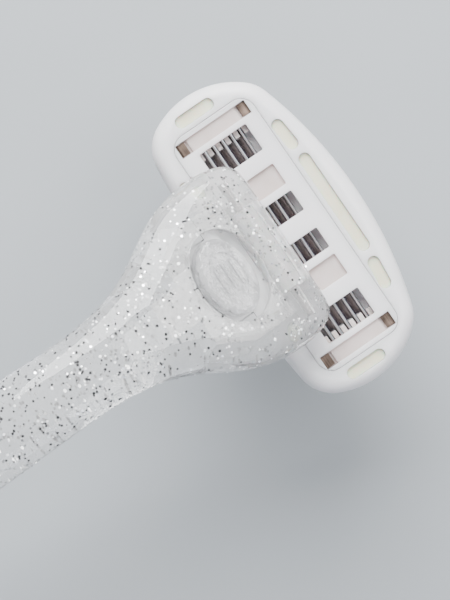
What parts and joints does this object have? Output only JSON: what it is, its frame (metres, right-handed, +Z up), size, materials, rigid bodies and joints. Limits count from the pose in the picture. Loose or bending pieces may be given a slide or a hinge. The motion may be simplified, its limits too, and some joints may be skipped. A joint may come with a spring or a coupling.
{
  "type": "cartridge razor",
  "caption": "Wet-shaving razor: clear glittered handle with a spade-shaped pivoting head, oval release button and a rounded soap-ringed blade cartridge.",
  "frame": {"origin": "on the surface the razor lies on, under the middle of its overall length and width", "axes": "+X along the cartridge, +Y along the handle from its tail towards the cartridge, +Z up, from the shaving face to the back of the cartridge"},
  "size_m": [0.054, 0.1501, 0.0295],
  "materials": {
    "clear_glitter": "clear, with fine silver and black glitter",
    "pale_clear": "clear, slightly milky",
    "white_plastic": "satin",
    "frosted_white": "frosted, translucent",
    "soap": "waxy soap",
    "soft_strip": "soft, matt",
    "blade_steel": "polished edge",
    "steel": "satin",
    "clip_steel": "satin, warm grey"
  },
  "bodies": {
    "handle": {"handle_body": "clear_glitter", "head_core": "pale_clear", "pivot_axle": "steel"},
    "button": {"release_button": "pale_clear", "ejector": "white_plastic", "button_spring": "steel"},
    "plunger": {"pivot_plunger": "white_plastic", "plunger_spring": "steel"},
    "yoke": {"pivot_yoke": "white_plastic"},
    "cartridge": {"blade_housing": "frosted_white", "soap_carrier": "frosted_white", "soap_surround": "soap", "guard_strip": "soft_strip", "clip_left": "clip_steel", "clip_right": "clip_steel", "blade_1": "blade_steel", "blade_2": "blade_steel", "blade_3": "blade_steel", "blade_4": "blade_steel", "blade_5": "blade_steel", "blade_support_1": "steel", "blade_support_2": "steel", "blade_support_3": "steel", "blade_support_4": "steel", "blade_support_5": "steel"}
  },
  "joints": [
    {"name": "cartridge_pivot", "type": "hinge", "parent": "handle", "child": "yoke", "pos_m": [0, 0.0566, 0.0134], "axis": [1, 0, 0], "range_deg": [0, 40], "stiffness_Nm_per_rad": 0.012, "springref_deg": -14.32},
    {"name": "cartridge_release", "type": "slide", "parent": "yoke", "child": "cartridge", "axis": [0, 0, -1], "range_m": [0, 0.02]},
    {"name": "button_slide", "type": "slide", "parent": "handle", "child": "button", "axis": [0, 0.9272, -0.3746], "range_m": [0, 0.002], "stiffness_N_per_m": 300, "springref_m": -0.002, "deforming": ["button_spring"]},
    {"name": "plunger_slide", "type": "slide", "parent": "handle", "child": "plunger", "axis": [0, -0.9272, 0.3746], "range_m": [0, 0.0008], "deforming": ["plunger_spring"]}
  ],
  "couplings": [
    {"joint": "plunger_slide", "follows": "cartridge_pivot", "m_per_rad": 0.001074}
  ]
}
